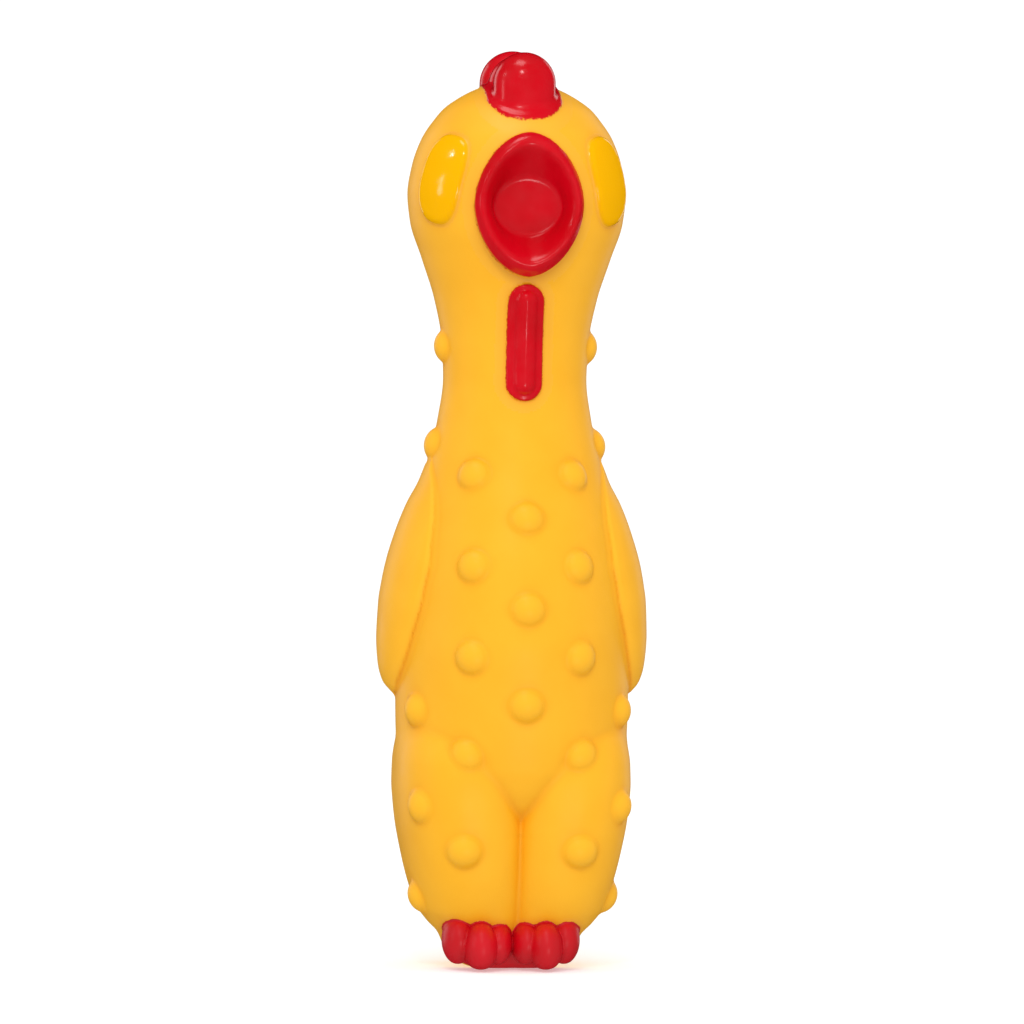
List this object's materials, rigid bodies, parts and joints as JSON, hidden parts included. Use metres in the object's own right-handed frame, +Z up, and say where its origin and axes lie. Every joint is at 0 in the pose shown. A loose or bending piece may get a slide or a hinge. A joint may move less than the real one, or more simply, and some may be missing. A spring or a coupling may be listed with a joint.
{
  "type": "rubber chicken",
  "caption": "Upright hollow squeaky rubber chicken with open beak, comb, wattle, low wings, nubbed skin and red toes; waist, neck, head and belly flex.",
  "frame": {"origin": "centre of the bounding box on the floor plane that the chicken stands on", "axes": "+Z up from the sole to the comb, -Y the way the beak faces, +X the chicken's own left"},
  "size_m": [0.0598, 0.0606, 0.2007],
  "materials": {
    "yellow_skin": "satin",
    "red_paint": "gloss",
    "squeaker_plastic": "satin",
    "reed_film": "gloss"
  },
  "bodies": {
    "legs": {"legs_skin": "yellow_skin", "left_inner_toe": "red_paint", "left_middle_toe": "red_paint", "left_outer_toe": "red_paint", "right_inner_toe": "red_paint", "right_middle_toe": "red_paint", "right_outer_toe": "red_paint", "squeaker_cup": "squeaker_plastic", "squeaker_plate": "squeaker_plastic", "squeaker_clamp": "squeaker_plastic", "squeaker_cap": "squeaker_plastic"},
    "reed": {"squeaker_reed": "reed_film"},
    "torso": {"torso_skin": "yellow_skin", "waist_band": "yellow_skin", "left_wing": "yellow_skin", "right_wing": "yellow_skin", "tail": "yellow_skin"},
    "belly": {"belly_panel": "yellow_skin"},
    "neck": {"neck_skin": "yellow_skin", "lower_neck_band": "yellow_skin"},
    "head": {"head_skin": "yellow_skin", "upper_neck_band": "yellow_skin", "comb": "red_paint", "beak_rim": "red_paint", "mouth_pocket": "red_paint", "wattle": "red_paint", "left_eye": "yellow_skin", "right_eye": "yellow_skin"}
  },
  "joints": [
    {"name": "waist_bend", "type": "hinge", "parent": "legs", "child": "torso", "pos_m": [0, 0, 0.0474], "axis": [1, 0, 0], "range_deg": [-15, 15], "stiffness_Nm_per_rad": 1.2, "deforming": ["waist_band"]},
    {"name": "belly_press", "type": "slide", "parent": "torso", "child": "belly", "axis": [0, 1, 0], "range_m": [0, 0.005], "stiffness_N_per_m": 400},
    {"name": "neck_bend", "type": "hinge", "parent": "torso", "child": "neck", "pos_m": [0, 0, 0.1075], "axis": [1, 0, 0], "range_deg": [-18, 18], "stiffness_Nm_per_rad": 0.5, "deforming": ["lower_neck_band"]},
    {"name": "head_tilt", "type": "hinge", "parent": "neck", "child": "head", "pos_m": [0, 0, 0.1238], "axis": [0, 1, 0], "range_deg": [-24, 24], "stiffness_Nm_per_rad": 0.4, "deforming": ["upper_neck_band"]},
    {"name": "reed_flutter", "type": "hinge", "parent": "legs", "child": "reed", "pos_m": [0, 0.00705, 0.00702], "axis": [1, 0, 0], "range_deg": [-2, 2], "stiffness_Nm_per_rad": 0.0005}
  ]
}
